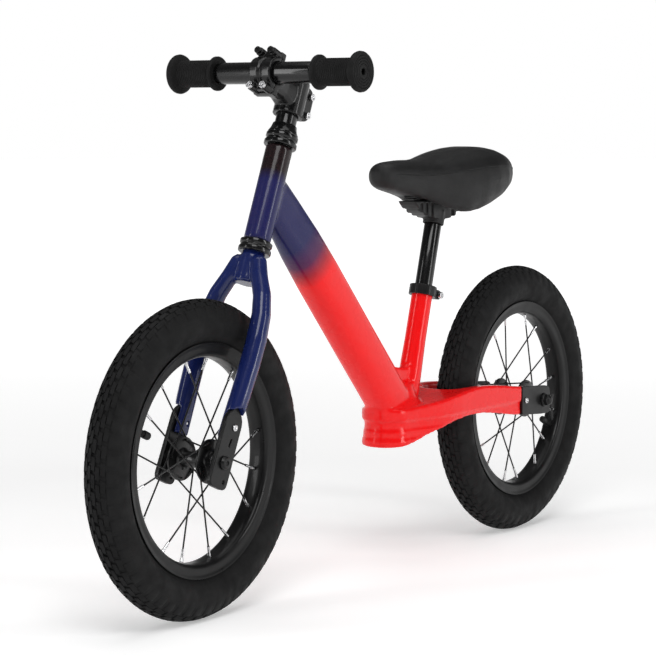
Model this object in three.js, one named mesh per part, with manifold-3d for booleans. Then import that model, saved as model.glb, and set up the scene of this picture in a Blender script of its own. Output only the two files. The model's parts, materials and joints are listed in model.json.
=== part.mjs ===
// Balance bike. Millimetres, +Z up. The bike faces -Y and its left side is +X.
// The origin is on the ground, in the centre plane, midway between the two axles.
import * as THREE from 'three';
import { mergeVertices } from 'three/addons/utils/BufferGeometryUtils.js';
import Module from 'manifold-3d';

const wasm = await Module();
wasm.setup();
const { Manifold, Mesh: WasmMesh } = wasm;

// ---------------------------------------------------------------- driving sizes
const GAP = 0.3; // clearance between pieces that touch
const FAR = 300; // reach of a cutting tool that runs right through

const WHEEL_RADIUS = 180;
const WHEELBASE = 704;
const TYRE_HALF_WIDTH = 23;
const RIM_FLANGE_RADIUS = 131;
const RIM_INNER_RADIUS = 114.5;
const SPOKES_PER_SIDE = 8;
const SPOKE_RADIUS = 1;
const NIPPLE_RADIUS = 1.9;
const WHEEL_SIDES = 32;

const HUB_BARREL_RADIUS = 9;
const HUB_FLANGE_RADIUS = 25;
const HUB_FLANGE_X = 19.6;
const HUB_HALF_LENGTH = 28;
const SPOKE_HOLE_RADIUS = 21.5;
const AXLE_RADIUS = 4;

const HEAD_TILT = THREE.MathUtils.degToRad(22.9);
const HEAD_BASE = new THREE.Vector3(0, -239.7, 410);
const HEAD_TUBE_RADIUS = 15.9;
const HEAD_TUBE_BORE = 14.3;
const HEAD_TUBE_LENGTH = 116.4;
const CUP_RADIUS = 19.3;
const CUP_HEIGHT = 14;
const STEERER_RADIUS = 12.7;
const STEERER_BORE = 10.9;
const AXLE_BEHIND = -WHEELBASE / 2 - HEAD_BASE.y;
const AXLE_BELOW = WHEEL_RADIUS - HEAD_BASE.z;
const FORK_OFFSET = AXLE_BELOW * Math.sin(HEAD_TILT) - AXLE_BEHIND * Math.cos(HEAD_TILT);
const AXLE_DROP = -AXLE_BEHIND * Math.sin(HEAD_TILT) - AXLE_BELOW * Math.cos(HEAD_TILT);
const FORK_PLATE_X = 33.5;
const REAR_PLATE_X = 43;
const PLATE_THICKNESS = 6;

const SEAT_TILT = THREE.MathUtils.degToRad(16.1);
const SEAT_TUBE_TOP = new THREE.Vector3(0, 122.7, 347);
const SEAT_TUBE_RADIUS = 13.6;
const SEAT_TUBE_LENGTH = 165;
const SEAT_BORE_DEPTH = 142;
const POST_RADIUS = 11.1;
const POST_BORE = 9.5;
const POST_RISE = 82; // post above the seat tube at rest
const POST_INSERT = 66; // post inside the seat tube at rest

const STEM_CLAMP_Z = [164, 207];
const BAR_Y = -54;
const BAR_Z = 194.3;
const BAR_RADIUS = 12.7;
const BAR_GRIP_RADIUS = 11;
const BAR_HALF_LENGTH = 129;
const GRIP_INNER_X = 69.5;
const GRIP_OUTER_X = 131.5;

const STAY_OUTER_X = 49;
const STAY_INNER_X = 35;
const STAY_END_Y = 293;
const NOSE_CENTRE_Y = 41;
const NOSE_RADIUS = 33.5;
const WHEEL_SLOT_Y = 152;
const DOWN_TUBE_WALL = 3;

// ---------------------------------------------------------------- materials
const FINISHES = {
  paint_red: { color: 0xd8101c, roughness: 0.22, metalness: 0.1 },
  paint_navy: { color: 0x14245c, roughness: 0.22, metalness: 0.1 },
  black_metal: { color: 0x121314, roughness: 0.38, metalness: 0.6 },
  black_gloss: { color: 0x0b0b0c, roughness: 0.15, metalness: 0.3 },
  black_plastic: { color: 0x17181a, roughness: 0.6, metalness: 0 },
  grip_rubber: { color: 0x151515, roughness: 0.75, metalness: 0 },
  tyre_rubber: { color: 0x1b1b1c, roughness: 0.85, metalness: 0 },
  leatherette: { color: 0x1c1c1d, roughness: 0.5, metalness: 0 },
  bright_steel: { color: 0xc4c6c8, roughness: 0.25, metalness: 1 },
};

function makeMesh(name, geometry, finish) {
  const mesh = new THREE.Mesh(geometry, new THREE.MeshStandardMaterial(FINISHES[finish]));
  mesh.name = name;
  return mesh;
}

// ---------------------------------------------------------------- solids
function signedVolume(geometry) {
  const position = geometry.getAttribute('position');
  const index = geometry.index;
  const corners = [new THREE.Vector3(), new THREE.Vector3(), new THREE.Vector3()];
  let sum = 0;
  for (let i = 0; i < index.count; i += 3) {
    corners.forEach((corner, k) => corner.fromBufferAttribute(position, index.getX(i + k)));
    sum += corners[0].dot(corners[1].cross(corners[2]));
  }
  return sum / 6;
}

// Weld a geometry, drop its flat triangles, face it outwards and hand it to manifold.
function solid(geometry) {
  const bare = geometry.clone();
  bare.deleteAttribute('normal');
  bare.deleteAttribute('uv');
  const welded = mergeVertices(bare, 1e-4);
  const old = Array.from(welded.index.array);
  const kept = [];
  for (let i = 0; i < old.length; i += 3) {
    const [a, b, c] = old.slice(i, i + 3);
    if (a !== b && b !== c && c !== a) kept.push(a, b, c);
  }
  welded.setIndex(kept);
  if (signedVolume(welded) < 0) welded.setIndex(kept.reverse());
  const mesh = new WasmMesh({
    numProp: 3,
    vertProperties: Float32Array.from(welded.getAttribute('position').array),
    triVerts: Uint32Array.from(welded.index.array),
  });
  return new Manifold(mesh);
}

function toGeometry(body) {
  const mesh = body.getMesh();
  const geometry = new THREE.BufferGeometry();
  geometry.setAttribute('position', new THREE.BufferAttribute(Float32Array.from(mesh.vertProperties), 3));
  geometry.setIndex(Array.from(mesh.triVerts));
  geometry.computeVertexNormals();
  return geometry;
}

function union(bodies) {
  return bodies.reduce((sum, body) => sum.add(body));
}

function cut(body, tools) {
  return tools.reduce((rest, tool) => rest.subtract(tool), body);
}

// A profile of [radius, height] points, turned about Z.
function revolve(profile, sides) {
  const points = profile.map(([radius, height]) => new THREE.Vector2(Math.max(radius, 0), height));
  const geometry = new THREE.LatheGeometry(points, sides);
  geometry.rotateX(Math.PI / 2);
  return solid(geometry);
}

// The same, turned about X: profile points are [radius, x].
function revolveX(profile, sides) {
  return revolve(profile, sides).rotate([0, 90, 0]);
}

function closeProfile(profile) {
  return [...profile, profile[0]];
}

function disc(radius, z0, z1, sides = 24) {
  return revolve([[0, z0], [radius, z0], [radius, z1], [0, z1]], sides);
}

function ring(inner, outer, z0, z1, sides = 24) {
  return revolve(closeProfile([[inner, z0], [outer, z0], [outer, z1], [inner, z1]]), sides);
}

function rodX(radius, x0, x1, y, z, sides = 12) {
  return disc(radius, x0, x1, sides).rotate([0, 90, 0]).translate([0, y, z]);
}

function rodY(radius, y0, y1, x, z, sides = 12) {
  return disc(radius, -y1, -y0, sides).rotate([90, 0, 0]).translate([x, 0, z]);
}

function block(low, high) {
  const size = high.map((value, i) => value - low[i]);
  const geometry = new THREE.BoxGeometry(...size);
  geometry.translate(low[0] + size[0] / 2, low[1] + size[1] / 2, low[2] + size[2] / 2);
  return solid(geometry);
}

// Skin a row of rings that have the same number of points, and close both ends.
function loft(rings) {
  const count = rings[0].length;
  const positions = [];
  const index = [];
  rings.forEach((points) => points.forEach((point) => positions.push(point.x, point.y, point.z)));
  for (let i = 0; i < rings.length - 1; i += 1) {
    for (let j = 0; j < count; j += 1) {
      const a = i * count + j;
      const b = i * count + ((j + 1) % count);
      index.push(a, b, a + count, b, b + count, a + count);
    }
  }
  [0, rings.length - 1].forEach((i) => {
    const centre = positions.length / 3;
    const middle = rings[i].reduce((sum, point) => sum.add(point), new THREE.Vector3()).divideScalar(count);
    positions.push(middle.x, middle.y, middle.z);
    for (let j = 0; j < count; j += 1) {
      const a = i * count + j;
      const b = i * count + ((j + 1) % count);
      if (i === 0) index.push(b, a, centre);
      else index.push(a, b, centre);
    }
  });
  const geometry = new THREE.BufferGeometry();
  geometry.setAttribute('position', new THREE.Float32BufferAttribute(positions, 3));
  geometry.setIndex(index);
  return solid(geometry);
}

function superPower(value, exponent) {
  return Math.sign(value) * Math.abs(value) ** (2 / exponent);
}

// A ring in the plane of two axes, between a circle (exponent 2) and a rounded box.
function superRing(centre, sideAxis, upAxis, halfSide, halfUp, exponent, count) {
  return Array.from({ length: count }, (_, i) => {
    const angle = (2 * Math.PI * i) / count;
    return centre
      .clone()
      .addScaledVector(sideAxis, halfSide * superPower(Math.cos(angle), exponent))
      .addScaledVector(upAxis, halfUp * superPower(Math.sin(angle), exponent));
  });
}

// Extrude an outline in the YZ plane from x0 to x1.
function plateX(shape, x0, x1, curveSegments = 4) {
  const geometry = new THREE.ExtrudeGeometry(shape, { depth: x1 - x0, bevelEnabled: false, curveSegments });
  geometry.translate(0, 0, x0);
  geometry.applyMatrix4(new THREE.Matrix4().set(0, 0, 1, 0, 1, 0, 0, 0, 0, 1, 0, 0, 0, 0, 0, 1));
  return solid(geometry);
}

// Extrude an outline in the XY plane from z0 to z1.
function plateZ(points, z0, z1) {
  const shape = new THREE.Shape(points.map(([x, y]) => new THREE.Vector2(x, y)));
  const geometry = new THREE.ExtrudeGeometry(shape, { depth: z1 - z0, bevelEnabled: false });
  geometry.translate(0, 0, z0);
  return solid(geometry);
}

// A polygon with rounded corners, given as [across, up, corner radius].
function roundedShape(corners) {
  const shape = new THREE.Shape();
  const count = corners.length;
  corners.forEach(([across, up, radius], i) => {
    const here = new THREE.Vector2(across, up);
    const before = new THREE.Vector2(...corners[(i + count - 1) % count].slice(0, 2));
    const after = new THREE.Vector2(...corners[(i + 1) % count].slice(0, 2));
    const cornerRadius = Math.min(radius, 0.45 * here.distanceTo(before), 0.45 * here.distanceTo(after));
    const start = here.clone().add(before.sub(here).setLength(cornerRadius));
    const end = here.clone().add(after.sub(here).setLength(cornerRadius));
    if (i === 0) shape.moveTo(start.x, start.y);
    else shape.lineTo(start.x, start.y);
    shape.quadraticCurveTo(here.x, here.y, end.x, end.y);
  });
  shape.closePath();
  return shape;
}

function mirrorX(body) {
  return body.mirror([1, 0, 0]);
}

const SIDES = [['left', 1], ['right', -1]];

function sided(body, side) {
  return side > 0 ? body : mirrorX(body);
}

// Value of a smooth curve through [position, value] knots.
function curveThrough(knots) {
  const curve = new THREE.CatmullRomCurve3(knots.map(([position, value]) => new THREE.Vector3(position, value, 0)));
  return (count) => curve.getPoints(count).map((point) => [point.x, point.y]);
}

// ---------------------------------------------------------------- wheel
function makeTyre() {
  const beadRadius = RIM_FLANGE_RADIUS - 7.6;
  const outer = [
    [WHEEL_RADIUS, 0],
    [WHEEL_RADIUS - 3.4, TYRE_HALF_WIDTH * 0.44],
    [WHEEL_RADIUS - 13, TYRE_HALF_WIDTH * 0.84],
    [WHEEL_RADIUS - 29, TYRE_HALF_WIDTH],
    [RIM_FLANGE_RADIUS + 8, TYRE_HALF_WIDTH * 0.86],
    [RIM_FLANGE_RADIUS + 1.4, 13.9],
    [beadRadius, 12],
  ];
  const inner = [
    [beadRadius, 8.4],
    [RIM_FLANGE_RADIUS + 14, TYRE_HALF_WIDTH * 0.8],
    [WHEEL_RADIUS - 15, TYRE_HALF_WIDTH * 0.62],
    [WHEEL_RADIUS - 4.5, 0],
  ];
  const half = [...outer, ...inner];
  const other = half.slice(1, -1).map(([radius, x]) => [radius, -x]).reverse();
  return revolveX(closeProfile([...half, ...other]), WHEEL_SIDES);
}

function makeRim(valveAngle) {
  const half = [
    [RIM_INNER_RADIUS, 9.5],
    [RIM_INNER_RADIUS + 5, 13.5],
    [RIM_FLANGE_RADIUS, 15.6],
    [RIM_FLANGE_RADIUS + 0.4, 14.3],
    [RIM_FLANGE_RADIUS - 8.8, 12.5],
    [RIM_INNER_RADIUS + 2.8, 7],
  ];
  const other = half.map(([radius, x]) => [radius, -x]).reverse();
  const body = revolveX(closeProfile([...half, ...other]), WHEEL_SIDES);
  const hole = atWheelAngle(disc(4.3, RIM_INNER_RADIUS - 10, RIM_INNER_RADIUS + 10, 12), valveAngle);
  return body.subtract(hole);
}

// Turn a solid that stands along +Z so that it points at an angle from +Y towards +Z.
function atWheelAngle(body, degrees) {
  return body.rotate([degrees - 90, 0, 0]);
}

function makeValve(valveAngle) {
  const stem = revolve([
    [0, RIM_INNER_RADIUS - 14],
    [3.2, RIM_INNER_RADIUS - 14],
    [4, RIM_INNER_RADIUS - 8],
    [4, RIM_INNER_RADIUS + 3.4],
    [6.5, RIM_INNER_RADIUS + 3.9],
    [6.5, RIM_INNER_RADIUS + 5.5],
    [0, RIM_INNER_RADIUS + 5.5],
  ], 12);
  return atWheelAngle(stem, valveAngle);
}

function makeValveCap(valveAngle) {
  const top = RIM_INNER_RADIUS - 14 - GAP;
  const cap = revolve([[0, top], [4.4, top], [4.8, top - 2], [4.6, top - 9], [2.6, top - 11], [0, top - 11]], 12);
  return atWheelAngle(cap, valveAngle);
}

function wheelPoint(radius, degrees, x) {
  const angle = THREE.MathUtils.degToRad(degrees);
  return new THREE.Vector3(x, radius * Math.cos(angle), radius * Math.sin(angle));
}

// One flange's spokes. They cross and touch, laced as one web, each with its nipple.
function makeSpokes(side, phase) {
  const bodies = [];
  for (let i = 0; i < SPOKES_PER_SIDE; i += 1) {
    const hubAngle = phase + (360 / SPOKES_PER_SIDE) * i;
    const lead = i % 2 === 0 ? 90 : -90;
    const head = wheelPoint(SPOKE_HOLE_RADIUS, hubAngle, side * (HUB_FLANGE_X + 6.4));
    const end = wheelPoint(RIM_INNER_RADIUS - 1.8, hubAngle + lead, side * 2.6);
    bodies.push(makeSpoke(head, end));
  }
  return union(bodies);
}

function makeSpoke(head, end) {
  const along = end.clone().sub(head).normalize();
  const across = new THREE.Vector3(1, 0, 0).cross(along).normalize();
  const up = new THREE.Vector3().crossVectors(along, across);
  const sections = [[0, SPOKE_RADIUS], [0.88, SPOKE_RADIUS], [1, NIPPLE_RADIUS]];
  return loft(sections.map(([share, radius]) => {
    return superRing(head.clone().lerp(end, share), across, up, radius, radius, 2, 4);
  }));
}

function makeHub() {
  const pocket = HUB_HALF_LENGTH - 7.3;
  const half = [
    [HUB_BARREL_RADIUS, 15],
    [12, HUB_FLANGE_X - 1.8],
    [HUB_FLANGE_RADIUS, HUB_FLANGE_X - 1.2],
    [HUB_FLANGE_RADIUS, HUB_FLANGE_X + 1.2],
    [13, HUB_FLANGE_X + 2],
    [13, HUB_HALF_LENGTH],
    [11.3, HUB_HALF_LENGTH],
    [11.3, pocket],
    [5.5, pocket - 0.4],
  ];
  const other = half.map(([radius, x]) => [radius, -x]).reverse();
  return revolveX(closeProfile([...half, ...other]), 16);
}

// The right flange is turned by half a spoke space.
function flangeShift(side) {
  return side > 0 ? 0 : 180 / SPOKES_PER_SIDE;
}

function makeBearing(side) {
  const inner = HUB_HALF_LENGTH - 7;
  return sided(ring(AXLE_RADIUS + GAP, 11, inner, HUB_HALF_LENGTH, 12).rotate([0, 90, 0]), side);
}

// Axle with a collar on each side that holds the hub between the plates.
function makeAxle(plateX, endX) {
  const collar = HUB_HALF_LENGTH + GAP;
  const half = [
    [AXLE_RADIUS, collar],
    [8.5, collar],
    [8.5, plateX - GAP],
    [AXLE_RADIUS, plateX - GAP],
    [AXLE_RADIUS, endX],
    [0, endX],
  ];
  const other = half.map(([radius, x]) => [radius, -x]).reverse();
  return revolveX([...other, ...half], 12);
}

function addWheel(parent, prefix, phase, valveAngle) {
  parent.add(makeMesh(`${prefix}_tyre`, toGeometry(makeTyre()), 'tyre_rubber'));
  parent.add(makeMesh(`${prefix}_rim`, toGeometry(makeRim(valveAngle)), 'black_metal'));
  parent.add(makeMesh(`${prefix}_valve`, toGeometry(makeValve(valveAngle)), 'grip_rubber'));
  parent.add(makeMesh(`${prefix}_valve_cap`, toGeometry(makeValveCap(valveAngle)), 'black_plastic'));
  parent.add(makeMesh(`${prefix}_hub`, toGeometry(makeHub()), 'black_metal'));
  SIDES.forEach(([label, side]) => {
    const spokes = makeSpokes(side, phase + flangeShift(side));
    parent.add(makeMesh(`${prefix}_spokes_${label}`, toGeometry(spokes), 'black_metal'));
    parent.add(makeMesh(`${prefix}_bearing_${label}`, toGeometry(makeBearing(side)), 'bright_steel'));
  });
}

// ---------------------------------------------------------------- fork and its plates
const FORK_PLATE_TOP = -194;
const FORK_PLATE_BOTTOM = -285;
const FORK_SCREW = [-10, -214];

function forkPlateShape(grow) {
  const [low, high] = [-31 - grow, 3 + grow];
  const shape = roundedShape([
    [low, FORK_PLATE_BOTTOM, 9],
    [high - 2, FORK_PLATE_BOTTOM, 9],
    [high, FORK_PLATE_TOP - 8 + grow, 9],
    [-13, FORK_PLATE_TOP + 4 + grow, 7],
    [low + 4, FORK_PLATE_TOP - 8 + grow, 9],
  ]);
  return shape;
}

function makeForkPlate(side) {
  const body = plateX(forkPlateShape(0), FORK_PLATE_X, FORK_PLATE_X + PLATE_THICKNESS);
  const slot = roundedShape([[-13.2, -237, 1.4], [-10.2, -237, 1.4], [-8.6, -227, 1.4], [-11.6, -227, 1.4]]);
  const tools = [
    rodX(AXLE_RADIUS + GAP, 0, FAR, -FORK_OFFSET, -AXLE_DROP, 16),
    rodX(2.6, 0, FAR, ...FORK_SCREW),
    rodX(2.6, 0, FAR, -7, FORK_PLATE_BOTTOM + 9, 8),
    plateX(slot, 0, FAR, 2),
  ];
  return sided(cut(body, tools), side);
}

function makeBlade() {
  const stations = [
    [11, -5, -13, 7],
    [14, -5.5, -17, 9.4],
    [21, -6.5, -37, 10.2],
    [31, -7, -58, 10.8],
    [36.8, -7.5, -82, 11.4],
    [38.6, -8, -110, 12],
    [38.3, -9, -140, 12],
    [36.8, -10.5, -176, 11.8],
    [35, -12, -205, 11.4],
    [33.8, -13, -228, 11],
  ];
  const upright = new THREE.Vector3(0, 1, 0);
  const rings = stations.map(([x, y, z, radius], i) => {
    const before = stations[Math.max(i - 1, 0)];
    const after = stations[Math.min(i + 1, stations.length - 1)];
    const along = new THREE.Vector3(after[0] - before[0], 0, after[2] - before[2]).normalize();
    const across = new THREE.Vector3().crossVectors(along, upright);
    return superRing(new THREE.Vector3(x, y, z), across, upright, radius, radius, 2, 12);
  });
  const recess = plateX(forkPlateShape(GAP), FORK_PLATE_X - GAP, FAR);
  const inside = block([-FAR, -60, -FAR], [25, 60, FORK_PLATE_TOP - 12]);
  const screw = rodX(2.6, 0, FAR, ...FORK_SCREW);
  return cut(loft(rings), [recess, inside, screw]);
}

function makeFork() {
  const steerer = disc(STEERER_RADIUS, -30, STEM_CLAMP_Z[1] + 1, 20);
  const crown = revolve([[0, -43], [13.5, -43], [15, -41], [14.6, -9], [0, -9]], 20);
  const bore = disc(STEERER_BORE, -18, FAR, 16);
  const blade = makeBlade();
  return cut(union([steerer, crown, blade, mirrorX(blade)]), [bore]);
}

// A button-head screw along X, its head outside the plate.
function makeScrewX(side, headX, shankX, radius) {
  const profile = [
    [0, shankX], [radius, shankX], [radius, headX], [radius * 1.9, headX],
    [radius * 1.7, headX + 1.4], [radius, headX + 2.1], [radius * 0.8, headX + 1.1], [0, headX + 1.1],
  ];
  return sided(revolveX(profile, 10), side);
}

// Hexagonal axle nut with a washer and a rounded cap.
function makeAxleNut(side, faceX) {
  const washer = disc(9.5, faceX, faceX + 1.8, 16);
  const hexagon = disc(8, faceX + 1.5, faceX + 7.5, 6);
  const cap = revolve([[0, faceX + 7], [6.4, faceX + 7], [5.6, faceX + 9.4], [3.6, faceX + 10.8], [0, faceX + 11.2]], 12);
  const hole = disc(AXLE_RADIUS + GAP, faceX - 1, faceX + 6.5, 10);
  return sided(cut(union([washer, hexagon, cap]), [hole]).rotate([0, 90, 0]), side);
}

// Low round-head axle bolt with a hexagonal socket.
function makeAxleBolt(side, faceX) {
  const head = revolve([[0, faceX], [8, faceX], [8, faceX + 1.6], [6, faceX + 4.4], [0, faceX + 5]], 16);
  const socket = disc(2.9, faceX + 3, faceX + 9, 6);
  const hole = disc(AXLE_RADIUS + GAP, faceX - 1, faceX + 1.8, 10);
  return sided(cut(head, [socket, hole]).rotate([0, 90, 0]), side);
}

// ---------------------------------------------------------------- headset
// A cup ring with a rolled lip. Its sleeve reaches from the ring's face into the head tube.
function makeCup(ringLow, sleeveEnd) {
  const ringHigh = ringLow + CUP_HEIGHT;
  const bore = STEERER_RADIUS + GAP;
  const sleeve = HEAD_TUBE_BORE - GAP;
  const lip = [
    [CUP_RADIUS - 0.6, ringHigh],
    [CUP_RADIUS - 0.6, ringHigh - 4],
    [CUP_RADIUS - 1.8, ringHigh - 6],
    [CUP_RADIUS, ringLow + 5],
    [CUP_RADIUS, ringLow + 1],
    [CUP_RADIUS - 1, ringLow],
  ];
  const above = sleeveEnd > ringHigh;
  const profile = above
    ? [[bore, sleeveEnd], [sleeve, sleeveEnd], [sleeve, ringHigh], ...lip, [bore, ringLow]]
    : [[bore, ringHigh], ...lip, [sleeve, ringLow], [sleeve, sleeveEnd], [bore, sleeveEnd]];
  return revolve(closeProfile(profile), 20);
}

function makeCone(low) {
  return revolve(closeProfile([
    [STEERER_RADIUS + GAP, low],
    [18, low],
    [18, low + 2],
    [15.6, low + 7],
    [14.4, low + 12.5],
    [STEERER_RADIUS + GAP, low + 12.5],
  ]), 20);
}

// ---------------------------------------------------------------- stem and handlebar
const FACE_BOLT_X = 9;
const FACE_BOLT_RISE = 21.5;
const FACE_FRONT_Y = BAR_Y - 14;
const PINCH_BOLT_Y = 23;
const PINCH_BOLT_Z = [174, 197];

function faceBoltPlaces() {
  const places = [];
  [['upper', 1], ['lower', -1]].forEach(([row, up]) => {
    SIDES.forEach(([label, side]) => {
      places.push([`faceplate_bolt_${row}_${label}`, side * FACE_BOLT_X, BAR_Z + up * FACE_BOLT_RISE]);
    });
  });
  return places;
}

function makeStem() {
  const [low, high] = STEM_CLAMP_Z;
  const clamp = disc(17.8, low, high, 20);
  const lug = plateX(roundedShape([
    [8, low + 1, 3], [24, low + 2, 6], [30, low + 9, 6], [30, high - 9, 6], [24, high - 1, 6], [8, high, 3],
  ]), -9.5, 9.5, 3);
  const neckX = new THREE.Vector3(1, 0, 0);
  const neckZ = new THREE.Vector3(0, 0, 1);
  const neck = loft([
    superRing(new THREE.Vector3(0, -4, 185), neckX, neckZ, 15, 17, 4, 16),
    superRing(new THREE.Vector3(0, -26, 188), neckX, neckZ, 13, 14, 3.2, 16),
    superRing(new THREE.Vector3(0, BAR_Y + 6, BAR_Z - 1), neckX, neckZ, 14.5, 20, 5, 16),
  ]);
  const barrel = revolveX([[0, -15], [18.2, -15], [18.2, 15], [0, 15]], 20).translate([0, BAR_Y, BAR_Z]);
  const wings = block([-14, BAR_Y - 1, BAR_Z - 26], [14, BAR_Y + 9, BAR_Z + 26]);
  const front = block([-FAR, -FAR, -FAR], [FAR, BAR_Y + GAP / 2, FAR]);
  const bolts = faceBoltPlaces().map(([, x, z]) => rodY(2.5, BAR_Y - 30, BAR_Y + 12, x, z, 6));
  const pinches = PINCH_BOLT_Z.map((z) => rodX(2.8, -FAR, FAR, PINCH_BOLT_Y, z, 8));
  const tools = [
    front,
    disc(STEERER_RADIUS + GAP, low - 5, high + 5, 20),
    rodX(BAR_RADIUS + GAP, -FAR, FAR, BAR_Y, BAR_Z, 20),
    block([-1.1, 5, low - 5], [1.1, 60, high + 5]),
    ...bolts,
    ...pinches,
  ];
  return cut(union([clamp, lug, neck, barrel, wings]), tools);
}

function makeFaceplate() {
  const barrel = revolveX(
    [[0, -15], [18.4, -15], [18.4, -2.4], [16.6, -1.6], [16.6, 1.6], [18.4, 2.4], [18.4, 15], [0, 15]],
    20,
  ).translate([0, BAR_Y, BAR_Z]);
  const ears = faceBoltPlaces().map(([, x, z]) => rodY(5.2, FACE_FRONT_Y, BAR_Y, x, z, 10));
  const webs = [1, -1].map((up) => {
    const heights = [BAR_Z + up * 12, BAR_Z + up * 24].sort((a, b) => a - b);
    return block([-13, BAR_Y - 8, heights[0]], [13, BAR_Y, heights[1]]);
  });
  const back = block([-FAR, BAR_Y - GAP / 2, -FAR], [FAR, FAR, FAR]);
  const holes = faceBoltPlaces().map(([, x, z]) => rodY(2.5, BAR_Y - 40, BAR_Y + 12, x, z, 6));
  const tools = [back, rodX(BAR_RADIUS + GAP, -FAR, FAR, BAR_Y, BAR_Z, 20), ...holes];
  return cut(union([barrel, ...ears, ...webs]), tools);
}

// Socket-head bolt along Y: the head stands in front of the faceplate.
function makeFaceBolt() {
  const head = disc(4.2, 0, 4, 10);
  const socket = disc(2.1, 2, 6, 6);
  const shank = disc(2, -20, 1, 6);
  return head.add(shank).subtract(socket).rotate([90, 0, 0]).translate([0, FACE_FRONT_Y - GAP, 0]);
}

function makePinchBolt(z) {
  const head = rodX(4.2, 9.5 + GAP, 13.5, PINCH_BOLT_Y, z, 12);
  const socket = rodX(2.1, 11.8, 20, PINCH_BOLT_Y, z, 6);
  const shank = rodX(2.5, -11, 11, PINCH_BOLT_Y, z, 8);
  return head.add(shank).subtract(socket);
}

function makeSteererCap() {
  const low = STEM_CLAMP_Z[1] + 1 + GAP;
  const cap = revolve([
    [0, low - 8], [STEERER_BORE - GAP, low - 8], [STEERER_BORE - GAP, low], [15, low], [15, low + 2], [12, low + 4], [0, low + 4.4],
  ], 18);
  return cap.subtract(disc(2.6, low + 2.4, low + 9, 6));
}

function makeHandlebar() {
  const outer = [[BAR_RADIUS, 64], [BAR_GRIP_RADIUS, 68.5], [BAR_GRIP_RADIUS, BAR_HALF_LENGTH]];
  const half = [...outer, [9.2, BAR_HALF_LENGTH]];
  const other = half.map(([radius, x]) => [radius, -x]).reverse();
  return revolveX(closeProfile([...half, ...other]), 20);
}

function makeGrip(side) {
  const bore = BAR_GRIP_RADIUS + GAP;
  const profile = [
    [bore, GRIP_INNER_X],
    [19, GRIP_INNER_X],
    [20, GRIP_INNER_X + 2.5],
    [19, GRIP_INNER_X + 5.5],
    [15.6, GRIP_INNER_X + 6.5],
    [15.6, GRIP_OUTER_X - 10.5],
    [22.5, GRIP_OUTER_X - 7.5],
    [23.3, GRIP_OUTER_X - 3],
    [21.5, GRIP_OUTER_X],
    [4, GRIP_OUTER_X],
    [4, BAR_HALF_LENGTH + GAP],
    [bore, BAR_HALF_LENGTH + GAP],
  ];
  return sided(revolveX(closeProfile(profile), 20), side);
}

// ---------------------------------------------------------------- frame
const STAY_TOP = [
  [-10, 199], [30, 199], [49, 199.5], [80, 202], [118, 207], [151, 211.5], [180, 213.5],
  [212, 212.5], [244, 209.5], [STAY_END_Y, 203.5], [313, 202],
];
const STAY_BOTTOM = [
  [313, 163.5], [STAY_END_Y, 165], [244, 172], [206, 177], [180, 178.5], [158, 178], [119, 172.5], [84, 165], [52, 156], [28, 151.5], [-10, 150.5],
];

function bandShape() {
  const top = curveThrough(STAY_TOP)(16);
  const bottom = curveThrough(STAY_BOTTOM)(16);
  return new THREE.Shape([...top, ...bottom].map(([y, z]) => new THREE.Vector2(y, z)));
}

// Plan outline of the foot platform and the two stays, with the rear wheel's slot.
function planOutline(inset) {
  const radius = NOSE_RADIUS - inset;
  const nose = [];
  for (let i = 0; i <= 12; i += 1) {
    const angle = Math.PI + (Math.PI * i) / 12;
    nose.push([radius * Math.cos(angle), NOSE_CENTRE_Y + radius * Math.sin(angle)]);
  }
  const flank = [[36.5 - inset, 60], [41 - inset, 78], [45.5 - inset, 98], [48 - inset, 118], [STAY_OUTER_X - inset, 140]];
  const end = [[STAY_OUTER_X - inset, 313], [STAY_INNER_X + inset, 313]];
  const slot = [[STAY_INNER_X + inset, 190], [33 + inset, 176], [27, 162], [17, 154.5], [6, WHEEL_SLOT_Y]];
  const right = [...flank, ...end, ...slot];
  const left = right.map(([x, y]) => [-x, y]).reverse();
  return [...nose, ...right, ...left];
}

// Layers of the platform: [inset, low, high]. The skirt flares towards its lip, under the deck's edge.
const PLATFORM_LAYERS = [[0, 184, 230], [3.4, 171, 184.01], [1.8, 160, 171.01], [0, 140, 160.01]];

// The band of the side view and the outline of the plan view, cut to their common part.
function makePlatform() {
  const band = plateX(bandShape(), -60, 60);
  const layers = PLATFORM_LAYERS.map(([inset, low, high]) => plateZ(planOutline(inset), low, high));
  return band.intersect(union(layers));
}

// The oval down tube, or with an inset and a shorter reach the hollow inside it.
function makeDownTube(inset, reach) {
  const start = new THREE.Vector3(0, -208, 471.5);
  const end = new THREE.Vector3(0, 50, 196.5).lerp(start, 1 - reach);
  const along = end.clone().sub(start).normalize();
  const sideAxis = new THREE.Vector3(1, 0, 0);
  const upAxis = new THREE.Vector3().crossVectors(sideAxis, along);
  const stations = [[0, 13.5, 26, 2.4], [0.1, 15.8, 28, 2.5], [0.22, 20, 28.4, 2.7], [0.36, 22, 28.4, 2.8], [1, 22.5, 28.4, 2.8]];
  const rings = stations.map(([share, halfSide, halfUp, exponent]) => {
    const centre = start.clone().lerp(end, share);
    return superRing(centre, sideAxis, upAxis, halfSide - inset, halfUp - inset, exponent, 20);
  });
  return loft(rings);
}

// The raised collar where the down tube and the seat tube stand on the platform.
function makeBoot() {
  const x = new THREE.Vector3(1, 0, 0);
  const y = new THREE.Vector3(0, 1, 0);
  return loft([
    superRing(new THREE.Vector3(0, 56, 190), x, y, 32, 46, 2.4, 20),
    superRing(new THREE.Vector3(0, 56, 201), x, y, 29, 42, 2.4, 20),
    superRing(new THREE.Vector3(0, 58, 208), x, y, 23, 34, 2.2, 20),
    superRing(new THREE.Vector3(0, 62, 228), x, y, 16, 24, 2, 20),
  ]);
}

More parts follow.
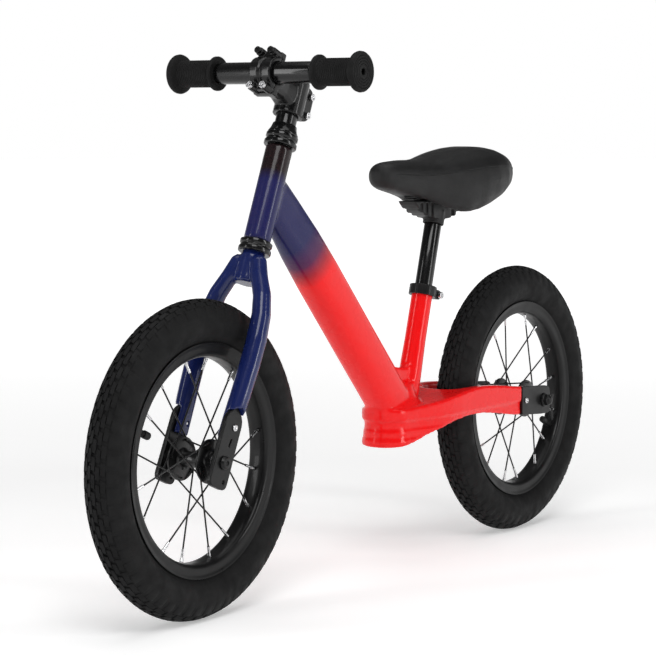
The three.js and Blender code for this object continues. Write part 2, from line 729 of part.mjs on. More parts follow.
// Web in the corner between the down tube and the seat tube.
function makeGusset() {
  const shape = roundedShape([[30, 215, 4], [88, 215, 4], [94, 262, 6], [76, 244, 14], [44, 250, 6]]);
  return plateX(shape, -7, 7, 4);
}

function seatFrame(body) {
  const degrees = THREE.MathUtils.radToDeg(SEAT_TILT);
  return body.rotate([-degrees, 0, 0]).translate(SEAT_TUBE_TOP.toArray());
}

function headFrame(body) {
  const degrees = THREE.MathUtils.radToDeg(HEAD_TILT);
  return body.rotate([-degrees, 0, 0]).translate(HEAD_BASE.toArray());
}

// Pocket in the platform's underside, which leaves a skirt.
function makeUndersidePocket() {
  const x = new THREE.Vector3(1, 0, 0);
  const y = new THREE.Vector3(0, 1, 0);
  return loft([
    superRing(new THREE.Vector3(0, 66, 130), x, y, 27, 46, 2.6, 16),
    superRing(new THREE.Vector3(0, 68, 188), x, y, 24, 44, 2.6, 16),
  ]);
}

const REAR_SCREW = [303, 184];

function rearPlateShape(grow) {
  return roundedShape([
    [STAY_END_Y + GAP - grow, 165.5 - grow, 2],
    [345, 161.5 - grow, 8],
    [368 + grow, 161 - grow, 9],
    [368 + grow, 198 + grow, 10],
    [345, 200 + grow, 8],
    [STAY_END_Y + GAP - grow, 203.2 + grow, 2],
  ]);
}

function makeRearPlate(side) {
  const body = plateX(rearPlateShape(0), REAR_PLATE_X, REAR_PLATE_X + PLATE_THICKNESS);
  const tools = [
    rodX(AXLE_RADIUS + GAP, 0, FAR, WHEELBASE / 2, WHEEL_RADIUS, 16),
    rodX(2.6, 0, FAR, ...REAR_SCREW),
  ];
  return sided(cut(body, tools), side);
}

function makeFrame() {
  const headTube = headFrame(disc(HEAD_TUBE_RADIUS, 8 + GAP, 8 + GAP + HEAD_TUBE_LENGTH, 24));
  const headBore = headFrame(disc(HEAD_TUBE_BORE, -20, 160, 20));
  const seatTube = seatFrame(revolve([
    [0, -SEAT_TUBE_LENGTH], [15.2, -SEAT_TUBE_LENGTH], [14.8, -118], [SEAT_TUBE_RADIUS, -70], [SEAT_TUBE_RADIUS, 0], [0, 0],
  ], 24));
  const seatBore = seatFrame(disc(POST_RADIUS + GAP, -SEAT_BORE_DEPTH, 20, 24));
  const rebates = SIDES.flatMap(([, side]) => {
    const low = side > 0 ? REAR_PLATE_X - GAP : -FAR;
    const high = side > 0 ? FAR : -REAR_PLATE_X + GAP;
    return [block([low, STAY_END_Y, 100], [high, 400, 260])];
  });
  const screw = rodX(2.6, -FAR, FAR, ...REAR_SCREW);
  const body = union([headTube, makeDownTube(0, 1), seatTube, makePlatform(), makeBoot(), makeGusset()]);
  return cut(body, [headBore, makeDownTube(DOWN_TUBE_WALL, 0.8), seatBore, makeUndersidePocket(), ...rebates, screw]);
}

// ---------------------------------------------------------------- seat
function makeSeatClamp() {
  const inner = SEAT_TUBE_RADIUS + GAP;
  const collar = disc(inner + 3.6, -14, -1, 24);
  const lugs = plateX(roundedShape([[12, -13.5, 2], [27, -13.5, 5], [31, -7.5, 5], [27, -1.5, 5], [12, -1.5, 2]]), -10, 10, 3);
  const tools = [
    disc(inner, -30, 20, 24),
    block([-1.3, 5, -30], [1.3, 50, 20]),
    rodX(2.8, -FAR, FAR, 24, -7.5),
  ];
  return cut(collar.add(lugs), tools);
}

function makeSeatClampBolt() {
  const head = rodX(4.5, 10 + GAP, 15, 24, -7.5, 16);
  const socket = rodX(2.2, 12.5, 20, 24, -7.5, 6);
  const barrel = rodX(4.5, -14.5, -10 - GAP, 24, -7.5, 16);
  const shank = rodX(2.5, -11, 11, 24, -7.5, 10);
  return union([head, barrel, shank]).subtract(socket);
}

function makeSeatPost() {
  return ring(POST_BORE, POST_RADIUS, -POST_INSERT, POST_RISE, 24);
}

// Saddle stations from nose to tail: [y, half width, top z, underside z].
const SADDLE_STATIONS = [
  [12.5, 8, 494, 480],
  [18, 16, 501.5, 473],
  [30, 21, 505, 469],
  [60, 24, 507, 463],
  [90, 28.5, 507, 455],
  [115, 36, 509, 446],
  [140, 46, 513.5, 437],
  [165, 53.5, 518, 431.5],
  [190, 58, 521.5, 433],
  [215, 60, 523, 440],
  [240, 58.5, 522, 449],
  [262, 51, 517, 459],
  [278, 37, 507, 469],
  [286.5, 17, 495, 480],
];
const SADDLE_BASE_Z = 463;
const SKIRT = 6;
const POCKET_SHARE = 0.68; // the pocket's width as a share of the pad's, less its skirt
const BASE_SHARE = 0.42;

function saddleRing([y, halfWidth, top, bottom], inset) {
  const middle = (top + bottom) / 2;
  const halfHeight = Math.max((top - bottom) / 2 - inset, 2);
  const across = new THREE.Vector3(1, 0, 0);
  const up = new THREE.Vector3(0, 0, 1);
  return superRing(new THREE.Vector3(0, y, middle), across, up, Math.max(halfWidth - inset, 3), halfHeight, 2.5, 18);
}

function makeSaddlePad() {
  const outer = loft(SADDLE_STATIONS.map((station) => saddleRing(station, 0)));
  const inner = SADDLE_STATIONS.slice(1, -1).map(([y, halfWidth]) => {
    const across = new THREE.Vector3(1, 0, 0);
    const up = new THREE.Vector3(0, 0, 1);
    const pocket = (halfWidth - SKIRT) * POCKET_SHARE;
    return superRing(new THREE.Vector3(0, y, 418), across, up, pocket, SADDLE_BASE_Z - 418, 7, 12);
  });
  return outer.subtract(loft(inner));
}

// Plan outline of the saddle's plastic base, a little inside the pad's pocket.
function saddleBaseOutline() {
  const half = SADDLE_STATIONS.slice(4, -3).map(([y, halfWidth]) => [(halfWidth - SKIRT) * BASE_SHARE, y]);
  const other = half.map(([x, y]) => [-x, y]).reverse();
  return [...half, ...other];
}

function makeSaddleBase() {
  const low = SADDLE_BASE_Z - 5.5;
  const plate = plateZ(saddleBaseOutline(), low, SADDLE_BASE_Z - 1.5);
  const tray = SADDLE_STATIONS.slice(5, -4).map(([y]) => y);
  const ribs = tray.map((y) => block([-12, y - 1, low - 2], [12, y + 1, low + 1]));
  return union([plate, ...ribs]);
}

// Crescent-shaped ribbed bracket under the base, with the socket that takes the post.
function makeSaddleBracket() {
  const top = SADDLE_BASE_Z - 8;
  const shape = new THREE.Shape();
  shape.moveTo(82, top);
  shape.quadraticCurveTo(92, 441, 122, 434);
  shape.quadraticCurveTo(146, 428.5, 172, 432);
  shape.quadraticCurveTo(192, 437, 204, top);
  shape.closePath();
  const keel = plateX(shape, -13, 13, 6);
  const socket = seatFrame(disc(13.6, POST_RISE - 2, POST_RISE + 16, 20));
  const postHole = seatFrame(disc(POST_RADIUS + GAP, POST_RISE - 40, POST_RISE + GAP, 20));
  const above = block([-FAR, -FAR, top], [FAR, FAR, top + FAR]);
  const flutes = [];
  SIDES.forEach(([, side]) => {
    for (let i = 0; i < 9; i += 1) {
      const y = 94 + 12.4 * i;
      if (Math.abs(y - 146) > 16) {
        const x = side > 0 ? [9.5, 20] : [-20, -9.5];
        flutes.push(block([x[0], y, 424], [x[1], y + 7, top - 3]));
      }
    }
  });
  return cut(cut(keel, flutes).add(socket), [postHole, above]);
}

function makeSaddleBolt() {
  const tip = seatFrame(disc(3.2, POST_RISE - 22, POST_RISE - 4, 12));
  const head = seatFrame(disc(6.5, POST_RISE - 26, POST_RISE - 21.5, 6));
  return tip.add(head);
}

// ---------------------------------------------------------------- assembly
function addFrame(bike) {
  bike.add(makeMesh('frame', toGeometry(makeFrame()), 'paint_red'));
  SIDES.forEach(([label, side]) => {
    const outer = REAR_PLATE_X + PLATE_THICKNESS + GAP;
    bike.add(makeMesh(`rear_dropout_${label}`, toGeometry(makeRearPlate(side)), 'black_metal'));
    const screw = makeMesh(`rear_dropout_screw_${label}`, toGeometry(makeScrewX(side, outer, 36, 2.3)), 'bright_steel');
    screw.position.set(0, ...REAR_SCREW);
    bike.add(screw);
    const nut = makeMesh(`rear_axle_nut_${label}`, toGeometry(makeAxleNut(side, outer)), 'black_metal');
    nut.position.set(0, WHEELBASE / 2, WHEEL_RADIUS);
    bike.add(nut);
  });
}

function addHeadset(head) {
  const top = 8 + 2 * GAP + HEAD_TUBE_LENGTH;
  const lower = makeCup(-6, 20);
  const upper = makeCup(top, top - 12);
  head.add(makeMesh('headset_lower_cup', toGeometry(lower), 'black_gloss'));
  head.add(makeMesh('headset_upper_cup', toGeometry(upper), 'black_gloss'));
  head.add(makeMesh('headset_cone', toGeometry(makeCone(top + CUP_HEIGHT + GAP)), 'black_gloss'));
}

function addSteering(head) {
  head.add(makeMesh('fork', toGeometry(makeFork()), 'paint_navy'));
  SIDES.forEach(([label, side]) => {
    const outer = FORK_PLATE_X + PLATE_THICKNESS + GAP;
    head.add(makeMesh(`fork_dropout_${label}`, toGeometry(makeForkPlate(side)), 'black_metal'));
    const screw = makeMesh(`fork_dropout_screw_${label}`, toGeometry(makeScrewX(side, outer, 27, 2.3)), 'bright_steel');
    screw.position.set(0, ...FORK_SCREW);
    head.add(screw);
    const bolt = makeMesh(`front_axle_bolt_${label}`, toGeometry(makeAxleBolt(side, outer)), 'black_metal');
    bolt.position.set(0, -FORK_OFFSET, -AXLE_DROP);
    head.add(bolt);
  });
  head.add(makeMesh('stem', toGeometry(makeStem()), 'black_metal'));
  head.add(makeMesh('stem_faceplate', toGeometry(makeFaceplate()), 'black_metal'));
  faceBoltPlaces().forEach(([name, x, z]) => {
    const bolt = makeMesh(name, toGeometry(makeFaceBolt()), 'bright_steel');
    bolt.position.set(x, 0, z);
    head.add(bolt);
  });
  PINCH_BOLT_Z.forEach((z, i) => {
    head.add(makeMesh(`pinch_bolt_${i + 1}`, toGeometry(makePinchBolt(z)), 'bright_steel'));
  });
  head.add(makeMesh('steerer_cap', toGeometry(makeSteererCap()), 'black_plastic'));
}

function addHandlebar(head) {
  const bar = new THREE.Group();
  bar.position.set(0, BAR_Y, BAR_Z);
  bar.add(makeMesh('handlebar', toGeometry(makeHandlebar()), 'black_gloss'));
  SIDES.forEach(([label, side]) => {
    bar.add(makeMesh(`grip_${label}`, toGeometry(makeGrip(side)), 'grip_rubber'));
  });
  head.add(bar);
}

function addSeat(bike) {
  const seat = new THREE.Group();
  seat.position.copy(SEAT_TUBE_TOP);
  seat.rotation.x = -SEAT_TILT;
  seat.add(makeMesh('seat_clamp', toGeometry(makeSeatClamp()), 'black_metal'));
  seat.add(makeMesh('seat_clamp_bolt', toGeometry(makeSeatClampBolt()), 'bright_steel'));
  seat.add(makeMesh('seat_post', toGeometry(makeSeatPost()), 'black_gloss'));
  bike.add(seat);
  bike.add(makeMesh('saddle_bracket', toGeometry(makeSaddleBracket()), 'black_plastic'));
  bike.add(makeMesh('saddle_bolt', toGeometry(makeSaddleBolt()), 'black_metal'));
  bike.add(makeMesh('saddle_base', toGeometry(makeSaddleBase()), 'black_plastic'));
  bike.add(makeMesh('saddle_pad', toGeometry(makeSaddlePad()), 'leatherette'));
}

function addWheels(bike, head) {
  const front = new THREE.Group();
  front.position.set(0, -FORK_OFFSET, -AXLE_DROP);
  front.rotation.x = HEAD_TILT;
  front.add(makeMesh('front_axle', toGeometry(makeAxle(FORK_PLATE_X, FORK_PLATE_X + PLATE_THICKNESS + 1.6)), 'bright_steel'));
  addWheel(front, 'front', 10.5, 156.75);
  head.add(front);
  const rear = new THREE.Group();
  rear.position.set(0, WHEELBASE / 2, WHEEL_RADIUS);
  rear.add(makeMesh('rear_axle', toGeometry(makeAxle(REAR_PLATE_X, REAR_PLATE_X + PLATE_THICKNESS + 5)), 'bright_steel'));
  addWheel(rear, 'rear', -13.75, -25);
  bike.add(rear);
}

const bike = new THREE.Group();
bike.name = 'balance_bike';
const head = new THREE.Group();
head.position.copy(HEAD_BASE);
head.rotation.x = -HEAD_TILT;
bike.add(head);
addFrame(bike);
addHeadset(head);
addSteering(head);
addHandlebar(head);
addSeat(bike);
addWheels(bike, head);

export default bike;
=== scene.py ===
"""Balance bike: the visual model over the CAD frame. Metres. The bike faces -Y and its left side is +X."""

import json
import math

import bmesh
import bpy
from mathutils import Matrix, Vector
from mathutils.bvhtree import BVHTree


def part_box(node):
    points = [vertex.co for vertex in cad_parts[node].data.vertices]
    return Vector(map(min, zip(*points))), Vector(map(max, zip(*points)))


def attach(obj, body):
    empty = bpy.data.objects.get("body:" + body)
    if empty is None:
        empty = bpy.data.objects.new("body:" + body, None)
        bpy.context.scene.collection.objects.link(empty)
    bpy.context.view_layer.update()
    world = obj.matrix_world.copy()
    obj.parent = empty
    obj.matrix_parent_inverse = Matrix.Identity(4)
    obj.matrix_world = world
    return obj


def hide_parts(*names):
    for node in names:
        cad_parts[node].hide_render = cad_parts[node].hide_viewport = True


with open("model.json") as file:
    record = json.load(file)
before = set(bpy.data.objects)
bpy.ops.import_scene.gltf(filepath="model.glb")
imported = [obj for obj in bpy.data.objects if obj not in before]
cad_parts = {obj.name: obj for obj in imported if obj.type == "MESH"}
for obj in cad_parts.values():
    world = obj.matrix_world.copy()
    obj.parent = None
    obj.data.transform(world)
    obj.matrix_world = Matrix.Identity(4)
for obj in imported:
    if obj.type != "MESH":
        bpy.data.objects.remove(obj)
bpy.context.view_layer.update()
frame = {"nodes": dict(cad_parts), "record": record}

MM = 0.001
X = Vector((1, 0, 0))
Y = Vector((0, 1, 0))
Z = Vector((0, 0, 1))
JOINTS = {joint["name"]: joint for joint in frame["record"]["behaviour"]["joints"]}

# ---------------------------------------------------------------- places, from the frame
HEAD_BASE = Vector(JOINTS["steering"]["pos_m"])
HEAD_AXIS = Vector(JOINTS["steering"]["axis"]).normalized()
BAR_CENTRE = Vector(JOINTS["handlebar_roll"]["pos_m"])
SEAT_AXIS = Vector(JOINTS["seat_height"]["axis"]).normalized()
WHEELS = {
    "front": Vector(JOINTS["front_wheel_spin"]["pos_m"]),
    "rear": Vector(JOINTS["rear_wheel_spin"]["pos_m"]),
}
TYRE_RADIUS = (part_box("rear_tyre")[1].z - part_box("rear_tyre")[0].z) / 2
TYRE_HALF_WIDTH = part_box("rear_tyre")[1].x
RIM_RADIUS = (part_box("rear_rim")[1].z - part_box("rear_rim")[0].z) / 2
HUB_RADIUS = (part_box("rear_hub")[1].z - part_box("rear_hub")[0].z) / 2
HUB_HALF_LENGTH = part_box("rear_hub")[1].x
BAR_HALF_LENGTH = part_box("handlebar")[1].x
BAR_RADIUS = (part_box("handlebar")[1].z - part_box("handlebar")[0].z) / 2
GRIP_INNER_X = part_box("grip_left")[0].x
GRIP_OUTER_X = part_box("grip_left")[1].x
GRIP_RADIUS = (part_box("grip_left")[1].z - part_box("grip_left")[0].z) / 2

# ---------------------------------------------------------------- sizes
RING_SIDES = 128
SPOKES_PER_SIDE = 8
SPOKE_PHASE = {"front": 10.5, "rear": -13.75}  # degrees up from straight back, at rest
SPOKE_RADIUS = 1.0 * MM
SPOKE_HEAD_RADIUS = 21.5 * MM
SPOKE_END_DROP = 17.5 * MM  # from the rim's edge inwards
SPOKE_END_X = 2.6 * MM
FLANGE_X = 19.6 * MM  # middle of a hub flange
BEARING_DEPTH = 7.2 * MM
RIM_DEPTH = 16.8 * MM
NIPPLE_RADIUS = 1.9 * MM
NIPPLE_LENGTH = 14 * MM
TREAD_DEPTH = 2.4 * MM
TREAD_PITCHES = 60
TREAD_ROWS = (  # shares of the half width, then shares of a pitch: inner, outer, shift, fill, lean
    (0.02, 0.20, 0, 0.80, 0.4),
    (0.245, 0.41, 0.45, 0.78, 0.5),
    (0.455, 0.62, 0.1, 0.76, 0.5),
    (0.67, 0.93, 0.6, 0.70, 0.3),
)
BLOCK_STEPS = 4
POST_RADIUS = 11.1 * MM
POST_BORE = 9.5 * MM
HEAD_TUBE_RADIUS = 15.9 * MM
HEAD_TUBE_ENDS = (8.3, 124.7)  # millimetres up the head tube's axis
CUP_BASES = {"headset_lower_cup": -6 * MM, "headset_upper_cup": 125 * MM}
CONE_RISE = 14.3 * MM  # from the upper cup's base
GRIP_RIBS = 17
SEAM_POINTS = 46
DOWN_TUBE_START = HEAD_BASE + Vector((0, 31.7, 61.5)) * MM
DOWN_TUBE_END = Vector((0, 50, 196.5)) * MM
DOWN_TUBE_STATIONS = (  # share of the length, half width and half height in mm, squareness
    (0, 13.5, 26, 2.4),
    (0.1, 15.8, 28, 2.5),
    (0.22, 20, 28.4, 2.7),
    (0.36, 22, 28.4, 2.8),
    (1, 22.5, 28.4, 2.8),
)
FADE_START = 0.070  # along the down tube, where navy begins to turn red
FADE_END = 0.128
BLACK_START = 0.080  # up the head tube, where navy begins to turn black
BLACK_END = 0.094
CASTS = {  # cast skin: voxel and smoothing passes
    "frame_cast": (1.9 * MM, 12),
    "fork_cast": (1.3 * MM, 10),
    "saddle_cover": (2.6 * MM, 16),
}
CAMERA_PLACE = (1.5506, -2.3472, 0.5555)
CAMERA_AZIMUTH = math.radians(34.5154)
CAMERA_ELEVATION = math.radians(5.1693)
CAMERA_LENS = 125.69
FLOOR_RADIUS = 30
STUDIO_MIDDLE = (0, 0, 0.3)
LAMPS = {  # location, size, watts
    "key": ((1.2, -1.8, 2.6), (1.6, 1.2), 36),
    "left strip": ((3.0, 0.6, 1.2), (0.5, 2.2), 27),
    "right strip": ((-1.6, -2.6, 1.1), (0.5, 2.0), 20),
    "top": ((0, 0.2, 3.0), (2.6, 2.6), 34),
}


# ---------------------------------------------------------------- mesh helpers
def link(name, mesh):
    piece = bpy.data.objects.new(name, mesh)
    bpy.context.scene.collection.objects.link(piece)
    return piece


def from_bmesh(name, bm):
    bmesh.ops.recalc_face_normals(bm, faces=bm.faces)
    mesh = bpy.data.meshes.new(name)
    bm.to_mesh(mesh)
    bm.free()
    return mesh


def smooth_all(mesh):
    mesh.polygons.foreach_set("use_smooth", [True] * len(mesh.polygons))


def shade(mesh, degrees=35):
    """Smooth shading, with edges sharper than the angle kept sharp."""
    smooth_all(mesh)
    mesh.set_sharp_from_angle(angle=math.radians(degrees))


def bake(piece):
    """Turns a piece's modifiers into its own mesh."""
    depsgraph = bpy.context.evaluated_depsgraph_get()
    mesh = bpy.data.meshes.new_from_object(piece.evaluated_get(depsgraph))
    piece.modifiers.clear()
    piece.data = mesh


def add_rings(bm, rings, closed_along=False):
    """Skins rings of points into faces, either closed into a loop or capped at both ends."""
    loops = [[bm.verts.new(point) for point in ring] for ring in rings]
    pairs = list(zip(loops, loops[1:]))
    if closed_along:
        pairs.append((loops[-1], loops[0]))
    for low, high in pairs:
        count = len(low)
        for i in range(count):
            j = (i + 1) % count
            bm.faces.new((low[i], low[j], high[j], high[i]))
    if not closed_along:
        bm.faces.new(loops[0])
        bm.faces.new(loops[-1])


def turn_into(bm, profile, place, sides):
    """Turns a closed profile of (radius, height) about the place's Z axis."""
    rings = []
    for i in range(sides):
        angle = 2 * math.pi * i / sides
        around = Vector((math.cos(angle), math.sin(angle), 0))
        rings.append([place @ (around * radius + Z * height) for radius, height in profile])
    add_rings(bm, rings, closed_along=True)


def both_sides(half, last=None):
    """A half profile from the centre plane outwards, then its mirror image back."""
    return half + [(radius, -x) for radius, x in reversed(half[1:last])]


def turned(name, profile, place, sides=64, bevel=0.35 * MM):
    """A turned piece with softened edges."""
    bm = bmesh.new()
    turn_into(bm, profile, place, sides)
    piece = link(name, from_bmesh(name, bm))
    if bevel:
        edge = piece.modifiers.new("edge", "BEVEL")
        edge.width = bevel
        edge.segments = 2
        edge.limit_method = "ANGLE"
        edge.angle_limit = math.radians(28)
        bake(piece)
    shade(piece.data)
    return piece


def axis_place(origin, axis):
    """A frame at the origin whose Z is the axis and whose X stays level."""
    side = X if abs(axis.x) < 0.9 else Y
    up = axis.cross(side).normalized()
    side = up.cross(axis).normalized()
    place = Matrix((side, up, axis)).transposed().to_4x4()
    place.translation = origin
    return place


HEAD = axis_place(HEAD_BASE, HEAD_AXIS)


def signed_power(value, exponent):
    return math.copysign(abs(value) ** exponent, value)


def oval(centre, side, up, half_side, half_up, exponent, count):
    ring = []
    for i in range(count):
        angle = 2 * math.pi * i / count
        across = signed_power(math.cos(angle), 2 / exponent) * half_side
        rise = signed_power(math.sin(angle), 2 / exponent) * half_up
        ring.append(centre + side * across + up * rise)
    return ring


def tube_into(bm, start, end, radius, end_radius, sides=10):
    along = (end - start).normalized()
    place = axis_place(start, along)
    side = place.col[0].to_3d()
    up = place.col[1].to_3d()
    rings = []
    for centre, size in ((start, radius), (end, end_radius)):
        rings.append(oval(centre, side, up, size, size, 2, sides))
    add_rings(bm, rings)


def smooth_line(points, steps):
    """Catmull-Rom points through a list of pairs."""
    line = []
    ends = [points[0]] + list(points) + [points[-1]]
    for i in range(1, len(ends) - 2):
        a, b, c, d = (Vector(p) for p in ends[i - 1:i + 3])
        for k in range(steps):
            t = k / steps
            line.append(0.5 * (2 * b + (c - a) * t + (2 * a - 5 * b + 4 * c - d) * t * t
                               + (3 * b - a - 3 * c + d) * t ** 3))
    line.append(Vector(points[-1]))
    return [tuple(point) for point in line]


def round_off(piece, voxel, passes):
    """Modifiers that remesh a piece and smooth its corners."""
    skin = piece.modifiers.new("skin", "REMESH")
    skin.mode = "VOXEL"
    skin.voxel_size = voxel
    skin.use_smooth_shade = True
    relax = piece.modifiers.new("relax", "SMOOTH")
    relax.factor = 0.5
    relax.iterations = passes


def softened(name, nodes, extra=None):
    """CAD nodes and extra solids fused into one cast skin with rounded inner and outer corners."""
    bm = bmesh.new()
    for node in nodes:
        bm.from_mesh(frame["nodes"][node].data)
    if extra:
        bm.from_mesh(extra)
    mesh = bpy.data.meshes.new(name)
    bm.to_mesh(mesh)
    bm.free()
    piece = link(name, mesh)
    round_off(piece, *CASTS[name])
    bake(piece)
    smooth_all(piece.data)
    return piece


def finish_piece(piece, body, slot, nodes=()):
    """Paints a piece with its slot's material, puts it on its body, and hides the CAD nodes that it stands
    for.
    """
    piece.data.materials.clear()
    piece.data.materials.append(MATERIALS[slot])
    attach(piece, body)
    if nodes:
        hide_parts(*nodes)


# ---------------------------------------------------------------- materials
def map_range(tree, value, low, high, from_low, from_high):
    """Maps a value from one range onto another, in a node tree."""
    stretch = tree.nodes.new("ShaderNodeMapRange")
    tree.links.new(value, stretch.inputs["Value"])
    stretch.inputs["From Min"].default_value = from_low
    stretch.inputs["From Max"].default_value = from_high
    stretch.inputs["To Min"].default_value = low
    stretch.inputs["To Max"].default_value = high
    return stretch.outputs["Result"]


class Shader:
    """A procedural material that is put together step by step."""

    def __init__(self, name, color, roughness, metallic=0.0, specular=0.5):
        self.material = bpy.data.materials.new(name)
        self.material.use_nodes = True
        self.nodes = self.material.node_tree.nodes
        self.links = self.material.node_tree.links
        self.surface = self.nodes["Principled BSDF"]
        self.surface.inputs["Base Color"].default_value = (*color, 1)
        self.surface.inputs["Roughness"].default_value = roughness
        self.surface.inputs["Metallic"].default_value = metallic
        self.surface.inputs["Specular IOR Level"].default_value = specular
        self.place = self.nodes.new("ShaderNodeTexCoord").outputs["Object"]
        self.height = None

    def noise(self, scale, detail=4):
        texture = self.nodes.new("ShaderNodeTexNoise")
        texture.inputs["Scale"].default_value = scale
        texture.inputs["Detail"].default_value = detail
        self.links.new(self.place, texture.inputs["Vector"])
        return texture.outputs["Fac"]

    def spread(self, value, low, high, from_low=0.3, from_high=0.7):
        return map_range(self.material.node_tree, value, low, high, from_low, from_high)

    def along(self, direction, origin):
        """Distance of a point from the origin along a direction."""
        offset = self.nodes.new("ShaderNodeVectorMath")
        offset.operation = "SUBTRACT"
        self.links.new(self.place, offset.inputs[0])
        offset.inputs[1].default_value = origin
        dot = self.nodes.new("ShaderNodeVectorMath")
        dot.operation = "DOT_PRODUCT"
        self.links.new(offset.outputs["Vector"], dot.inputs[0])
        dot.inputs[1].default_value = direction
        return dot.outputs["Value"]

    def mix(self, factor, first, second):
        blend = self.nodes.new("ShaderNodeMix")
        blend.data_type = "RGBA"
        for value, name in ((factor, "Factor"), (first, "A"), (second, "B")):
            socket = next(s for s in blend.inputs if s.name == name and s.enabled)
            if isinstance(value, bpy.types.NodeSocket):
                self.links.new(value, socket)
            else:
                socket.default_value = (*value, 1)
        return next(s for s in blend.outputs if s.enabled)

    def vary_roughness(self, scale, low, high):
        self.links.new(self.spread(self.noise(scale), low, high), self.surface.inputs["Roughness"])

    def vary_color(self, scale, first, second):
        color = self.mix(self.spread(self.noise(scale, 6), 0, 1), first, second)
        self.links.new(color, self.surface.inputs["Base Color"])

    def bump(self, value, distance, strength=0.6):
        lift = self.nodes.new("ShaderNodeBump")
        lift.inputs["Strength"].default_value = strength
        lift.inputs["Distance"].default_value = distance
        self.links.new(value, lift.inputs["Height"])
        if self.height:
            self.links.new(self.height, lift.inputs["Normal"])
        self.height = lift.outputs["Normal"]
        self.links.new(self.height, self.surface.inputs["Normal"])

    def coat(self, weight, roughness):
        self.surface.inputs["Coat Weight"].default_value = weight
        self.surface.inputs["Coat Roughness"].default_value = roughness


def metal_paint(name, color, deep, roughness, coat):
    paint = Shader(name, color, roughness, 0.0, 0.18)
    paint.vary_color(38, color, deep)
    paint.vary_roughness(60, roughness * 0.8, roughness * 1.25)
    paint.bump(paint.noise(420), 0.00006, 0.35)
    paint.coat(coat, 0.05)
    return paint


def frame_paint():
    """Red paint that fades through purple and navy to black at the head."""
    paint = Shader("frame paint", (0.8, 0.002, 0.003), 0.3, 0.0, 0.12)
    direction = (DOWN_TUBE_END - DOWN_TUBE_START).normalized()
    fade = paint.spread(paint.along(direction, DOWN_TUBE_START), 0, 1, FADE_START, FADE_END)
    ramp = paint.nodes.new("ShaderNodeValToRGB")
    paint.links.new(fade, ramp.inputs["Fac"])
    stops = ramp.color_ramp.elements
    stops[0].color = (0.006, 0.012, 0.075, 1)
    stops[1].color = (0.82, 0.002, 0.003, 1)
    middle = stops.new(0.45)
    middle.color = (0.07, 0.005, 0.055, 1)
    warm = stops.new(0.72)
    warm.color = (0.36, 0.003, 0.014, 1)
    black = paint.spread(paint.along(HEAD_AXIS, HEAD_BASE), 0, 1, BLACK_START, BLACK_END)
    forward = paint.spread(paint.along(Y, HEAD_BASE), 1, 0, 0.09, 0.12)
    both = paint.nodes.new("ShaderNodeMath")
    both.operation = "MULTIPLY"
    paint.links.new(black, both.inputs[0])
    paint.links.new(forward, both.inputs[1])
    color = paint.mix(both.outputs["Value"], ramp.outputs["Color"], (0.003, 0.003, 0.004))
    flecks = paint.spread(paint.noise(900, 2), 0, 0.02)
    color = paint.mix(flecks, color, (0.9, 0.3, 0.3))
    paint.links.new(color, paint.surface.inputs["Base Color"])
    paint.vary_roughness(55, 0.22, 0.32)
    paint.bump(paint.noise(320), 0.00008, 0.35)
    paint.coat(0.3, 0.03)
    return paint.material


def fork_paint():
    """Navy paint on the fork, with the bare black steerer above the head tube."""
    navy = (0.006, 0.013, 0.085)
    paint = metal_paint("fork paint", navy, navy, 0.28, 0.5)
    steerer = paint.spread(paint.along(HEAD_AXIS, HEAD_BASE), 0, 1, BLACK_START, BLACK_END)
    paint.links.new(paint.mix(steerer, navy, (0.003, 0.003, 0.0032)), paint.surface.inputs["Base Color"])
    return paint.material


def rubber(name, color, worn, grain, depth):
    surface = Shader(name, color, 0.7, 0.0, 0.18)
    surface.vary_color(30, color, worn)
    surface.vary_roughness(70, 0.58, 0.82)
    surface.bump(surface.noise(grain, 6), depth, 0.5)
    return surface.material


def plastic(name, color, roughness):
    surface = Shader(name, color, roughness, 0.0, 0.3)
    surface.vary_color(25, color, tuple(value * 1.5 for value in color))
    surface.vary_roughness(90, roughness * 0.85, roughness * 1.2)
    surface.bump(surface.noise(1400, 3), 0.00012, 0.5)
    return surface.material


def leatherette():
    surface = Shader("leatherette", (0.005, 0.005, 0.0053), 0.42, 0.0, 0.26)
    surface.vary_color(22, (0.004, 0.004, 0.0042), (0.008, 0.008, 0.0083))
    surface.vary_roughness(45, 0.36, 0.52)
    cells = surface.nodes.new("ShaderNodeTexVoronoi")
    cells.feature = "DISTANCE_TO_EDGE"
    cells.inputs["Scale"].default_value = 620
    surface.links.new(surface.place, cells.inputs["Vector"])
    surface.bump(surface.spread(cells.outputs["Distance"], 0, 1, 0, 0.25), 0.00025, 0.55)
    surface.bump(surface.noise(120, 5), 0.0004, 0.25)
    return surface.material


def bright_steel():
    surface = Shader("bright steel", (0.62, 0.62, 0.63), 0.22, 1.0)
    surface.vary_color(80, (0.5, 0.5, 0.51), (0.7, 0.7, 0.71))
    surface.vary_roughness(300, 0.16, 0.32)
    surface.bump(surface.noise(1200, 2), 0.00004, 0.4)
    return surface.material


